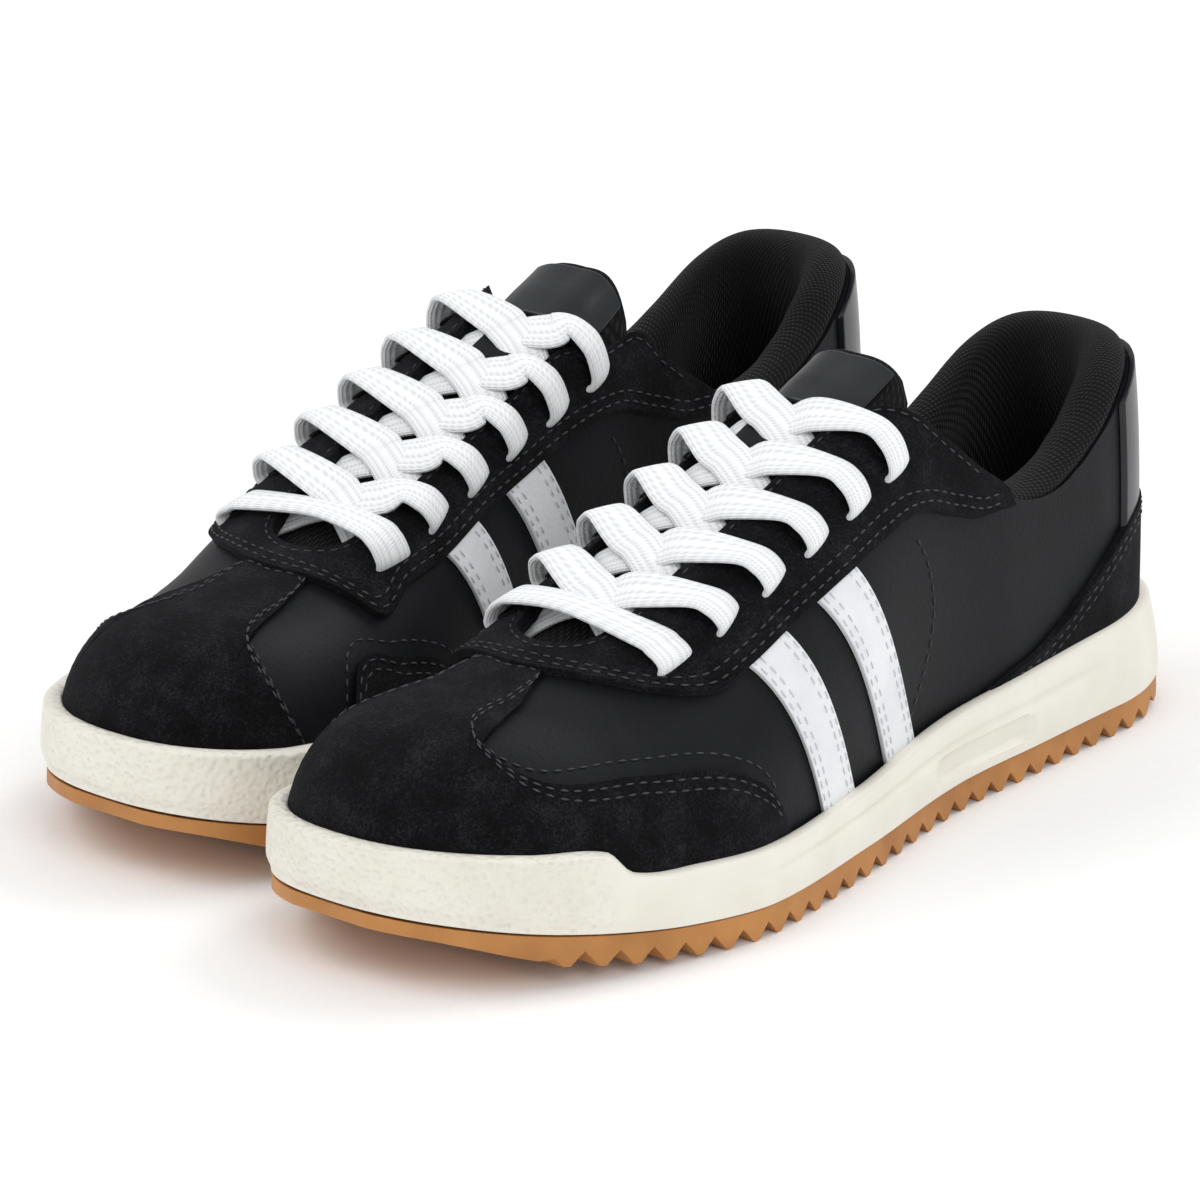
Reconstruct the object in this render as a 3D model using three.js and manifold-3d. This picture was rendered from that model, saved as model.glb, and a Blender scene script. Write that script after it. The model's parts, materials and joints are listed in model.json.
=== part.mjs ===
// A pair of low lace-up cheer trainers: suede and leather uppers on a white cup-shaped midsole with a
// gum outsole. Millimetres, +Z up, toes towards -Y, the left shoe on +X and the right shoe on -X.
// One shoe is written in its own frame: t runs forward from the back of the heel, x is positive to the
// outer (lateral) side, and the sole stands on z = 0. The right shoe is the left one mirrored.
import * as THREE from "three";
import { ParametricGeometry } from "three/addons/geometries/ParametricGeometry.js";
import { mergeVertices } from "three/addons/utils/BufferGeometryUtils.js";
import Module from "manifold-3d";

const wasm = await Module();
wasm.setup();

// Driving dimensions
const soleLength = 272;
const ballWidth = 97;
const ankleHeight = 88; // top of the heel collar above the ground
const pairSpacing = ballWidth - 2; // between the two shoes' centre lines
const pairStagger = 13.6; // the right shoe stands this much further back
const gap = 0.4; // clearance left between neighbouring pieces
const seamGap = 0.5; // clearance between two pieces that meet edge to edge
const wallThickness = 4.2; // the midsole's rim around the upper
const grooveDepth = 1.2; // the groove along the midsole's wall
const gumThickness = 3.6; // outsole above the roots of its teeth
const toothDepth = 3.4;
const toothPitch = 7.8;
const leather = 1.3;
const liningThickness = 1.4;
const stiffenerThickness = 0.7;
const boardThickness = 1.6;
const footbedThickness = 4;
const paddingThickness = 6;
const paddingDepth = 27; // how far the collar pad reaches down inside
const tongueThickness = 4;
const laceWidth = 6.4;
const laceThickness = 1.3;
const eyeletRadius = 3.1;
const eyeletRows = 6;
const agletLength = 18;
const agletRadius = 1.6;

// Lines along the shoe
const drawnLength = 272; // the length that the station tables below are drawn for
const drawnBall = 97;
const drawnAnkle = 88;
const lengthScale = soleLength / drawnLength;
const widthScale = ballWidth / drawnBall;
const ankleScale = ankleHeight / drawnAnkle;

// A smooth line through [station, value] pairs, with the value held past its ends.
function line(stations, scale = 1) {
  const slope = (i) => {
    const a = stations[Math.max(i - 1, 0)];
    const b = stations[Math.min(i + 1, stations.length - 1)];
    return (b[1] - a[1]) / (b[0] - a[0]);
  };
  return (t) => {
    const s = t / lengthScale;
    if (s <= stations[0][0]) return stations[0][1] * scale;
    const last = stations[stations.length - 1];
    if (s >= last[0]) return last[1] * scale;
    const i = stations.findIndex((p) => p[0] > s) - 1;
    const [s0, v0] = stations[i];
    const [s1, v1] = stations[i + 1];
    const span = s1 - s0;
    const k = (s - s0) / span;
    const a = (2 * k - 3) * k * k + 1;
    const b = ((k - 2) * k + 1) * k * span;
    const c = (3 - 2 * k) * k * k;
    const d = (k - 1) * k * k * span;
    return (a * v0 + b * slope(i) + c * v1 + d * slope(i + 1)) * scale;
  };
}

const soleHalf = line(
  [[0, 33.5], [35, 33.5], [70, 34], [105, 33.5], [150, 40], [190, 47.5], [215, 46.5], [240, 45], [272, 44]],
  widthScale,
);
const soleCentre = line(
  [[0, 0], [60, 1], [110, 4], [150, 6], [190, 4.2], [215, 1], [230, -1.5], [272, -7.5]],
  widthScale,
);
const ridgeX = line(
  [[45, 0], [80, -0.5], [118, -1.4], [150, -2], [195, -3.4], [215, -6], [235, -9]],
  widthScale,
);
const soleLift = line([[0, 3.5], [18, 1], [36, 0], [185, 0], [215, 1.2], [245, 5], [272, 10.5]]);
const groundLift = (t) => Math.max(0, soleLift(t));
const footLevel = line([[0, 18], [60, 17], [110, 14.5], [160, 11.8], [200, 11.6], [235, 14], [272, 20]]);
const rimLevel = line([
  [0, 28], [40, 26], [82, 24], [116, 22.5], [146, 20.5], [180, 19.3], [210, 20], [227, 21.8], [233, 27.5],
  [250, 30], [272, 33],
]);
const crest = line(
  [
    [45, 124], [80, 115], [100, 103], [118, 94], [134, 87], [151, 79.5], [168, 72.5], [183, 66], [195, 61],
    [212, 55], [226, 52],
  ],
  ankleScale,
);
const profilePower = line([
  [0, 3.6], [80, 3.4], [120, 3.3], [150, 3], [170, 2.8], [205, 2.5], [230, 2.3], [272, 2.2],
]);
const topLine = line(
  [[0, 88], [14, 87.5], [26, 82], [40, 72.5], [58, 65], [74, 67.5], [90, 78], [102, 89], [108, 96]],
  ankleScale,
);
const throatHalf = line([[100, 15.5], [118, 15], [150, 14.5], [190, 13.5], [200, 12.5]], widthScale);

const heelRound = 38 * lengthScale; // length over which the heel rounds off
const toeRound = 66 * lengthScale;
const ridgeBack = 45 * lengthScale; // the upper's sections meet on a ridge between these two
const ridgeFront = 226 * lengthScale;
const sideSteps = 18;
const heightSteps = 5;

function roundOff(t) {
  const heel = Math.max(0, (heelRound - t) / heelRound);
  const toe = Math.max(0, (t - (soleLength - toeRound)) / toeRound);
  return (1 - Math.min(1, heel) ** 2.3) ** (1 / 2.3) * (1 - Math.min(1, toe) ** 2.35) ** (1 / 2.35);
}
const station = (s) => (soleLength * (1 - Math.cos(Math.PI * s))) / 2;

// A point of the sole's outline, drawn in by inset: side is +1 lateral, -1 medial, s runs heel to toe.
function rim(s, side, inset) {
  const t = station(s);
  const x = soleCentre(t) + side * (soleHalf(t) - inset) * roundOff(t);
  return [x, inset + ((soleLength - 2 * inset) * t) / soleLength];
}
const toWorldY = (t) => soleLength / 2 - t;

// Solids
function toSolid(geometry) {
  const bare = geometry.clone();
  for (const name of Object.keys(bare.attributes)) if (name !== "position") bare.deleteAttribute(name);
  const merged = mergeVertices(bare, 1e-4);
  const index = merged.index.array;
  const kept = [];
  for (let i = 0; i < index.length; i += 3) {
    const [a, b, c] = [index[i], index[i + 1], index[i + 2]];
    if (a !== b && b !== c && c !== a) kept.push(a, b, c);
  }
  const solid = new wasm.Manifold(
    new wasm.Mesh({
      numProp: 3,
      vertProperties: merged.attributes.position.array,
      triVerts: new Uint32Array(kept),
    }),
  );
  if (solid.volume() >= 0) return solid;
  for (let i = 0; i < kept.length; i += 3) [kept[i + 1], kept[i + 2]] = [kept[i + 2], kept[i + 1]];
  return new wasm.Manifold(
    new wasm.Mesh({
      numProp: 3,
      vertProperties: merged.attributes.position.array,
      triVerts: new Uint32Array(kept),
    }),
  );
}

function toGeometry(solid) {
  const mesh = solid.getMesh();
  const geometry = new THREE.BufferGeometry();
  geometry.setAttribute("position", new THREE.BufferAttribute(mesh.vertProperties, mesh.numProp));
  geometry.setIndex(new THREE.BufferAttribute(mesh.triVerts, 1));
  return geometry;
}

// A closed body from rings of points: ring(u, w) with u along it and w once round. Both ends close to
// a point.
function loft(ring, along, round) {
  return toSolid(new ParametricGeometry((u, w, target) => target.set(...ring(u, w)), along, round));
}

// Offsets count outwards from the inner face of the upper's leather.
const outside = 2 * leather + gap; // the outer face of the overlays
const stiffenerFace = -gap;
const liningFace = stiffenerFace - stiffenerThickness - gap;
const underLining = liningFace - liningThickness;
const tongueFace = underLining - 2 * gap;
const insetAt = (offset) => wallThickness + gap + outside - offset;
const rootDepth = 4; // the curve of the upper starts this far below the footbed's level

function surfacePoint(s, side, h, offset) {
  const [x0, t0] = rim(s, side, insetAt(offset));
  const ridge = Math.min(Math.max(station(s), ridgeBack), ridgeFront);
  const power = 2 / profilePower(station(s));
  const angle = (h * Math.PI) / 2;
  const inward = h === 1 ? 1 : 1 - Math.cos(angle) ** power;
  const z0 = footLevel(station(s)) - rootDepth;
  const t = t0 + (ridge - t0) * inward;
  const x = x0 + (ridgeX(ridge) - x0) * inward;
  return [x, toWorldY(t), z0 + (crest(ridge) + offset - z0) * Math.sin(angle) ** power];
}

// Everything inside the upper's surface, moved out by offset.
function last(offset) {
  const round = 2 * heightSteps + 1;
  return loft(
    (s, w) => {
      const k = Math.round(w * round) % round;
      const rising = k <= heightSteps;
      return surfacePoint(s, rising ? 1 : -1, (rising ? k : round - 1 - k) / heightSteps, offset);
    },
    sideSteps,
    round,
  );
}
const shell = (inner, outer) => last(outer).subtract(last(inner)).subtract(belowFoot());

// A prism whose outline is drawn in side view as [t, z] points and which runs from x = from to x = to.
const sideways = new THREE.Matrix4().makeBasis(
  new THREE.Vector3(0, 1, 0),
  new THREE.Vector3(0, 0, 1),
  new THREE.Vector3(1, 0, 0),
);
function sidePrism(points, from = -80, to = 80) {
  const shape = new THREE.Shape(points.map(([t, z]) => new THREE.Vector2(toWorldY(t), z)));
  const geometry = new THREE.ExtrudeGeometry(shape, { depth: to - from, bevelEnabled: false });
  return toSolid(geometry.applyMatrix4(sideways).translate(from, 0, 0));
}

// A prism whose outline is drawn in plan as [x, t] points.
function planPrism(points, from = -5, to = 160) {
  const shape = new THREE.Shape(points.map(([x, t]) => new THREE.Vector2(x, toWorldY(t))));
  const geometry = new THREE.ExtrudeGeometry(shape, { depth: to - from, bevelEnabled: false });
  return toSolid(geometry.translate(0, 0, from));
}

// A line sampled as [t, value] points.
function along(f, from, to, steps) {
  return Array.from({ length: steps + 1 }, (_, i) => {
    const t = from + ((to - from) * i) / steps;
    return [t, f(t)];
  });
}
const scaled = (points) => points.map(([t, z]) => [t * lengthScale, z]);
const scaledPlan = (points) => points.map(([x, t]) => [x * widthScale, t * lengthScale]);
function smooth(points, steps) {
  const curve = new THREE.SplineCurve(points.map((p) => new THREE.Vector2(...p)));
  return curve.getPoints(steps).map((p) => [p.x, p.y]);
}

const belowFoot = () =>
  sidePrism([...along((t) => footLevel(t) + gap, -5, soleLength + 5, 14), [soleLength + 5, -20], [-5, -20]]);

function solePrism(inset, from, to) {
  const lateral = Array.from({ length: sideSteps + 1 }, (_, i) => rim(i / sideSteps, 1, inset));
  const medial = Array.from({ length: sideSteps - 1 }, (_, i) => rim(1 - (i + 1) / sideSteps, -1, inset));
  return planPrism([...lateral, ...medial], from, to);
}

// Sole unit
const gumTop = (t) => groundLift(t) + toothDepth + gumThickness;

function outsole() {
  const firstTooth = 20 * lengthScale;
  const teeth = Math.round((200 * lengthScale) / toothPitch);
  const bottom = [[-2, groundLift(0) + toothDepth]];
  bottom.push([firstTooth - 2, groundLift(firstTooth) + 0.6]);
  for (let i = 0; i < teeth; i++) {
    const t = firstTooth + i * toothPitch;
    bottom.push([t + toothPitch * 0.4, groundLift(t)]);
    bottom.push([t + toothPitch * 0.6, groundLift(t)]);
    if (i < teeth - 1) bottom.push([t + toothPitch, groundLift(t) + toothDepth]);
  }
  const end = firstTooth + teeth * toothPitch + 2;
  const front = along((t) => groundLift(t) + 0.6, end, soleLength + 2, 5);
  const top = along(gumTop, -2, soleLength + 2, 16).reverse();
  return sidePrism([...bottom, ...front, ...top]).intersect(solePrism(1, -5, 60));
}

function midsole() {
  const body = sidePrism([
    ...along((t) => gumTop(t) + gap, -2, soleLength + 2, 16),
    ...along(rimLevel, -2, soleLength + 2, 30).reverse(),
  ]).intersect(solePrism(0, -5, 60));
  const well = sidePrism([...along(footLevel, -2, soleLength + 2, 18), [soleLength + 2, 70], [-2, 70]]);
  const grooveT = [88, 128].map((t) => t * lengthScale);
  const groove = sidePrism([[grooveT[0], 13], [grooveT[1], 12], [grooveT[1], 15], [grooveT[0], 17.5]]);
  const grooves = groove.subtract(solePrism(grooveDepth, -5, 60));
  return body.subtract(well.intersect(solePrism(wallThickness, -5, 60))).subtract(grooves);
}

const insideInset = insetAt(underLining) + gap;
function insideSheet(from, to, inset) {
  return sidePrism([
    ...along((t) => footLevel(t) + from, -2, soleLength + 2, 14),
    ...along((t) => footLevel(t) + to, -2, soleLength + 2, 14).reverse(),
  ]).intersect(solePrism(inset, -5, 70));
}
const lastingBoard = () => insideSheet(gap, gap + boardThickness, insideInset + 0.6);
const footbedBottom = boardThickness + 2 * gap;
const footbed = () =>
  insideSheet(footbedBottom, footbedBottom + footbedThickness, insideInset + lengthScale);

// Upper: cutting outlines
const throatFront = 200 * lengthScale;
const throatBack = 96 * lengthScale;
function throat() {
  const edge = (side) => along((t) => ridgeX(t) + side * throatHalf(t), throatBack, throatFront, 5);
  const right = edge(1).map(([t, x]) => [x, t]);
  const left = edge(-1).map(([t, x]) => [x, t]).reverse();
  const radius = throatHalf(throatFront);
  const nose = Array.from({ length: 3 }, (_, i) => {
    const angle = ((i + 1) * Math.PI) / 4;
    return [ridgeX(throatFront) + radius * Math.cos(angle), throatFront + 0.6 * radius * Math.sin(angle)];
  });
  return planPrism([...right, ...nose, ...left], 40, 160);
}
const aboveTopLine = (drop = 0) =>
  sidePrism([
    ...along((t) => topLine(t) - drop, -4, 108 * lengthScale, 11),
    [108 * lengthScale, 170],
    [-4, 170],
  ]);

const stayLower = scaled([
  [76, 69.5], [88, 67.5], [98, 70.5], [110, 74], [122, 73], [137, 69], [154, 65], [167, 60.5], [183, 55.5],
  [197, 48], [216, 40],
]);
const stayFront = [[-46, 150], [-44, 186], [-35, 202], [-5.5, 213], [24, 204], [37, 188], [44, 150]];
const stayOutline = (grow) =>
  sidePrism([
    ...smooth(stayLower, 14).map(([t, z]) => [t - grow * 0.3, z - grow]),
    [216 * lengthScale, 150],
    [76 * lengthScale - grow, 150],
  ]).intersect(
    planPrism(
      smooth(scaledPlan(stayFront.map(([x, t], i) => [x, i === 3 ? t + grow : t])), 16)
        .concat([[50, 60], [-50, 60]]),
      20,
      160,
    ),
  );

const toeEdge = (side) =>
  scaledPlan([
    [side * 9 - 5, 210], [side * 9 - 7, 228], [side * 12 - 8, 240], [side * 22 - 7, 246],
    [side * 31 - 4, 235], [side * 38 - 1, 214], [side * 41 + 2, 198], [side * 45 + 3, 186],
    [side * 56 + 3, 177],
  ]);
const toeOutline = () =>
  planPrism([...smooth(toeEdge(1), 14), [70, 300], [-70, 300], ...smooth(toeEdge(-1), 14).reverse()]);

const foxingTop = scaled([[-3, 53], [12, 52.5], [24, 49], [42, 38], [60, 28.5], [84, 16]]);
const foxingOutline = () => sidePrism([...smooth(foxingTop, 12), [84 * lengthScale, 0], [-3, 0]]);
const tabEdge = scaled([[-3, 53.6], [12, 53.1], [24, 51.5], [29, 54], [27, 66], [24, 92]]);
const tabOutline = () => sidePrism([...smooth(tabEdge, 12), [-3, 96]]);

// A straight bar on one side of the shoe, from the eyelet stay down to the sole.
const barWidth = 14.5;
const barLean = 40; // how far back its foot lies from its head
const barHeads = { front: 190.5, rear: 160 };
function bar(head, side) {
  const top = head * lengthScale;
  const outline = [[top, 72], [top - barWidth, 72], [top - barWidth - barLean, 8], [top - barLean, 8]];
  return sidePrism(outline, side > 0 ? 12 : -80, side > 0 ? 80 : -12);
}

// Eyelets and lace
const eyeletT = (row) => (194 - 15.2 * row) * lengthScale;
const eyeletLevel = (row) => (55.5 + 5.8 * row) * ankleScale;
const eyeletOut = (row, side) => surfaceOut(side, eyeletLevel(row), eyeletT(row), 0);
const eyeletX = (row, side) => ridgeX(eyeletT(row)) + side * eyeletOut(row, side);

// The upper's surface over a point in plan, moved out by offset, and how far from the ridge it lies on one
// side at a height.
const reach = (side, t, offset) => soleHalf(t) - insetAt(offset) + side * (soleCentre(t) - ridgeX(t));
function surfaceZ(x, t, offset = 0) {
  const across = x - ridgeX(t);
  const power = profilePower(t);
  const out = Math.min(0.98, Math.abs(across) / reach(Math.sign(across), t, offset));
  const z0 = footLevel(t) - rootDepth;
  return z0 + (crest(t) + offset - z0) * (1 - out ** power) ** (1 / power);
}
function surfaceOut(side, z, t, offset) {
  const power = profilePower(t);
  const z0 = footLevel(t) - rootDepth;
  const rise = Math.min(0.98, (z - z0) / (crest(t) + offset - z0));
  return reach(side, t, offset) * (1 - rise ** power) ** (1 / power);
}
function skinNormal(x, t) {
  const slopeX = surfaceZ(x + 0.5, t) - surfaceZ(x - 0.5, t);
  const slopeT = surfaceZ(x, t + 0.5) - surfaceZ(x, t - 0.5);
  return new THREE.Vector3(-slopeX, slopeT, 1).normalize();
}
const skin = (x, t, offset) =>
  new THREE.Vector3(x, toWorldY(t), surfaceZ(x, t)).addScaledVector(skinNormal(x, t), offset);

function eyeletHoles() {
  const solids = [];
  for (let row = 0; row < eyeletRows; row++) {
    for (const side of [1, -1]) {
      const t = eyeletT(row);
      const x = eyeletX(row, side);
      const turn = new THREE.Quaternion().setFromUnitVectors(new THREE.Vector3(0, 1, 0), skinNormal(x, t));
      const drill = new THREE.CylinderGeometry(eyeletRadius, eyeletRadius, 12, 8).applyQuaternion(turn);
      solids.push(toSolid(drill.translate(...skin(x, t, 0).toArray())));
    }
  }
  return solids.reduce((all, one) => all.add(one));
}

// The lace lies over the bottom row as a bar. Each end then dives through its eyelet, comes out under the
// stay's edge and crosses to the next row's eyelet on the other side. The crossings that start on overSide
// lie on top, and both ends are tucked down inside the collar.
const lift = laceThickness / 2 + gap;
const slack = 0.9; // a straight stretch of lace stands off the rounded face that it lies on
const onStay = outside + lift + slack;
const underStay = tongueFace * 0.54;
const onTongue = tongueFace + lift + slack;
const insideWall = underLining - lift - slack;

function lacePath(overSide) {
  const points = [];
  const add = (at, flat, width = laceWidth) => points.push({ at, flat: flat.normalize(), width });
  const lay = (x, t, offset, width) => add(skin(x, t, offset), skinNormal(x, t), width);
  const narrow = laceWidth * 0.55;

  // Down through an eyelet from on top of the stay, and back under it towards the throat.
  function dive(row, side) {
    const t = eyeletT(row);
    const x = eyeletX(row, side);
    const normal = skinNormal(x, t);
    const outward = new THREE.Vector3(side, 0, 0).addScaledVector(normal, -side * normal.x).normalize();
    lay(x - side * 5 * normal.z, t, onStay);
    lay(x - side * 2.4 * normal.z, t, onStay, narrow);
    add(skin(x, t, outside), normal.clone().add(outward), narrow);
    add(skin(x, t, 0), outward.clone().sub(normal), narrow);
    add(skin(x - side * 2.4 * normal.z, t, underStay), normal.clone().negate(), narrow);
  }
  function cross(row, side) {
    const [a, b] = [eyeletT(row), eyeletT(row + 1)];
    const edge = throatHalf(a) - 1.5;
    const level = onTongue + (side === overSide ? laceThickness + gap : 0);
    const at = (out, share, offset) => lay(ridgeX(a) + side * out, a + (b - a) * share, offset);
    at(edge, 0.08, underStay);
    at(9, 0.2, level);
    at(0, 0.5, level);
    at(-8, 0.76, level);
    at(-edge + 0.7, 0.93, onStay + slack / 2);
  }
  function tuck(side) {
    points.pop(); // the last turn goes down along the wall instead of in under the stay
    const inward = () => new THREE.Vector3(-side, 0, -0.2);
    for (const stop of tuckStops) add(besideFoot(side, ...stop), inward(), laceWidth * 0.8);
  }
  function chain(side) {
    for (let row = 0; row < eyeletRows; row++, side = -side) {
      dive(row, side);
      if (row < eyeletRows - 1) cross(row, side);
    }
    tuck(-side);
  }
  chain(-1);
  const first = points.splice(0).reverse();
  lay(ridgeX(eyeletT(0)), eyeletT(0), onStay + slack);
  const bar = points.splice(0);
  chain(1);
  return [...first, ...bar, ...points];
}

// Stops of a tucked end on the inside of the wall: distance ahead of the top eyelet, height and offset.
const tuckStops = [
  [0, 82.5, underStay], [0, 79.5, underStay], [0.5, 75, insideWall + 0.4], [1.5, 69, insideWall],
  [4, 62, insideWall], [13, 54, insideWall - 0.6],
];
const agletOffset = insideWall - agletRadius;
function besideFoot(side, ahead, height, offset) {
  const t = eyeletT(eyeletRows - 1) + ahead;
  const z = height * ankleScale;
  return new THREE.Vector3(ridgeX(t) + side * surfaceOut(side, z, t, offset), toWorldY(t), z);
}
function aglet(side) {
  const laceEnd = besideFoot(side, ...tuckStops[tuckStops.length - 1]);
  const way = besideFoot(side, 31, 45, agletOffset).sub(laceEnd).normalize();
  const turn = new THREE.Quaternion().setFromUnitVectors(new THREE.Vector3(0, 1, 0), way);
  const tube = new THREE.CylinderGeometry(agletRadius * 0.8, agletRadius, agletLength, 8);
  tube.translate(0, agletLength / 2 + 1.5 * gap, 0).applyQuaternion(turn);
  return toSolid(tube.translate(...laceEnd.toArray()));
}

// A flat ribbon through points that lies square to each point's flat direction. Its ends close to a
// point.
function ribbon(points, thickness) {
  const rings = points.map(({ at, flat, width }, i) => {
    const ahead = points[Math.min(i + 1, points.length - 1)].at.clone();
    const way = ahead.sub(points[Math.max(i - 1, 0)].at).normalize();
    const up = flat.clone().addScaledVector(way, -flat.dot(way)).normalize();
    return { at, up, across: new THREE.Vector3().crossVectors(way, up), width };
  });
  for (let i = 1; i < rings.length; i++) {
    if (rings[i].up.dot(rings[i - 1].up) > 0) continue;
    rings[i].up.negate();
    rings[i].across.negate();
  }
  const section = [[-1, -1], [1, -1], [1, 1], [-1, 1], [-1, -1]];
  return loft(
    (u, w) => {
      const k = Math.round(u * (rings.length + 1)) - 1;
      const { at, up, across, width } = rings[Math.min(Math.max(k, 0), rings.length - 1)];
      if (k < 0 || k === rings.length) return at.toArray();
      const [a, b] = section[Math.round(w * 4)];
      const edge = at.clone().addScaledVector(across, (a * width) / 2);
      return edge.addScaledVector(up, (b * thickness) / 2).toArray();
    },
    rings.length + 1,
    4,
  );
}

// One shoe
function shoeSolids(overSide) {
  const lateralHalf = planPrism([[seamGap / 2 - 1, -10], [90, -10], [90, 300], [seamGap / 2 - 1, 300]]);
  const medialHalf = planPrism([[-seamGap / 2 - 1, -10], [-90, -10], [-90, 300], [-seamGap / 2 - 1, 300]]);
  const holes = eyeletHoles();
  const opening = aboveTopLine().add(throat());
  const base = shell(0, leather).subtract(opening).subtract(holes);
  const seamT = 152 * lengthScale;
  const front = sidePrism([[seamT + seamGap, -5], [300, -5], [300, 150], [seamT + seamGap - 22, 150]]);
  const rear = sidePrism([[seamT, -5], [-20, -5], [-20, 150], [seamT - 22, 150]]);
  const overlays = shell(leather + gap, outside).subtract(opening);
  const trim = stayOutline(0);
  const around = stayOutline(seamGap);
  const foxingEdge = foxingOutline();
  const foxing = overlays.intersect(foxingEdge);
  const tab = overlays.intersect(tabOutline());
  const facing = trim.intersect(sidePrism(scaled([[110, -5], [300, -5], [300, 150], [110, 150]])));
  const lining = shell(underLining, liningFace).subtract(opening).subtract(facing);
  const stiffener = shell(stiffenerFace - stiffenerThickness, stiffenerFace);
  const counter = stiffener.intersect(
    sidePrism(scaled([[-3, 10], [62, 10], [40, 40], [26, 58], [-3, 60]])),
  );
  const puffEdge = scaledPlan([[-70, 228], [0, 222], [70, 228], [70, 300], [-70, 300]]);
  const puff = stiffener.intersect(planPrism(puffEdge));
  const pad = shell(underLining - gap - paddingThickness, underLining - gap)
    .intersect(aboveTopLine(paddingDepth))
    .subtract(aboveTopLine(-2.5))
    .intersect(planPrism([[-60, -10], [60, -10], [60, 92 * lengthScale], [-60, 92 * lengthScale]]));
  const tongueShape = (half, from, to) =>
    planPrism([
      [ridgeX(from) - half, from], [ridgeX(from) + half, from],
      [ridgeX(to) + half * 0.86, to], [ridgeX(to) - half * 0.86, to],
    ]);
  const tongueSides = [[90, 85], [118, 79.5], [150, 62.5], [210, 44], [210, 150], [90, 150]];
  const tongueEdges = sidePrism(scaled(tongueSides));
  const tongue = shell(tongueFace - tongueThickness, tongueFace)
    .intersect(tongueShape(22 * widthScale, 98 * lengthScale, 206 * lengthScale))
    .intersect(tongueEdges);
  const label = shell(tongueFace + gap, tongueFace + gap + 1).intersect(
    tongueShape(14 * widthScale, 100 * lengthScale, 113 * lengthScale),
  );
  const bars = (head, side) => overlays.intersect(bar(head, side)).subtract(around);
  return {
    outsole: outsole(),
    midsole: midsole(),
    lasting_board: lastingBoard(),
    footbed: footbed(),
    heel_counter: counter,
    toe_puff: puff,
    lining,
    vamp: base.intersect(front),
    quarter_lateral: base.intersect(rear).intersect(lateralHalf),
    quarter_medial: base.intersect(rear).intersect(medialHalf),
    toe_overlay: overlays.intersect(toeOutline()).subtract(around),
    eyelet_stay: overlays.intersect(trim).subtract(holes),
    heel_foxing: foxing,
    heel_tab: tab,
    bar_front_lateral: bars(barHeads.front, 1),
    bar_rear_lateral: bars(barHeads.rear, 1),
    bar_front_medial: bars(barHeads.front, -1),
    bar_rear_medial: bars(barHeads.rear, -1),
    collar_pad: pad,
    tongue,
    tongue_label: label,
    lace: ribbon(lacePath(overSide), laceThickness),
    aglet_lateral: aglet(1),
    aglet_medial: aglet(-1),
  };
}

// Materials
const finish = (color, roughness) => new THREE.MeshStandardMaterial({ color, roughness, metalness: 0 });
const gum = finish(0xc98a4b, 0.6);
const cream = finish(0xf2efe6, 0.55);
const suede = finish(0x0b0b0d, 0.95);
const smoothLeather = finish(0x2a2a2e, 0.5);
const whiteLeather = finish(0xf4f5f7, 0.45);
const mesh = finish(0x17171a, 0.9);
const white = finish(0xf6f7f8, 0.85);
const board = finish(0xb9a684, 0.9);
const clear = finish(0xdfe3e6, 0.2);
const looks = {
  outsole: gum, midsole: cream, lasting_board: board, footbed: mesh, heel_counter: board, toe_puff: board,
  lining: mesh, vamp: smoothLeather, quarter_lateral: smoothLeather, quarter_medial: smoothLeather,
  toe_overlay: suede, eyelet_stay: suede, heel_foxing: suede, heel_tab: smoothLeather,
  bar_front_lateral: whiteLeather, bar_rear_lateral: whiteLeather,
  bar_front_medial: whiteLeather, bar_rear_medial: whiteLeather,
  collar_pad: mesh, tongue: mesh, tongue_label: smoothLeather, lace: white,
  aglet_lateral: clear, aglet_medial: clear,
};

function shoe(prefix, overSide) {
  const group = new THREE.Group();
  for (const [name, solid] of Object.entries(shoeSolids(overSide))) {
    const piece = new THREE.Mesh(toGeometry(solid), looks[name]);
    piece.name = prefix + name;
    group.add(piece);
  }
  return group;
}

const pair = new THREE.Group();
const left = shoe("left_", 1);
left.position.set(pairSpacing / 2, -pairStagger / 2, 0);
const right = shoe("right_", -1);
right.position.set(-pairSpacing / 2, pairStagger / 2, 0);
right.scale.x = -1;
pair.add(left, right);

export default pair;
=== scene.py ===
# A pair of low lace-up cheer trainers: black suede and leather uppers, off-white cup midsoles, toothed gum
# outsoles and wide white laces. Each shoe is worked out in its own millimetres: x out to the lateral side,
# t forward from the back of the heel, z up from the ground. Then it is placed, and mirrored for the right.
import json
import math

import bmesh
import bpy
from mathutils import Matrix, Vector

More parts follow.
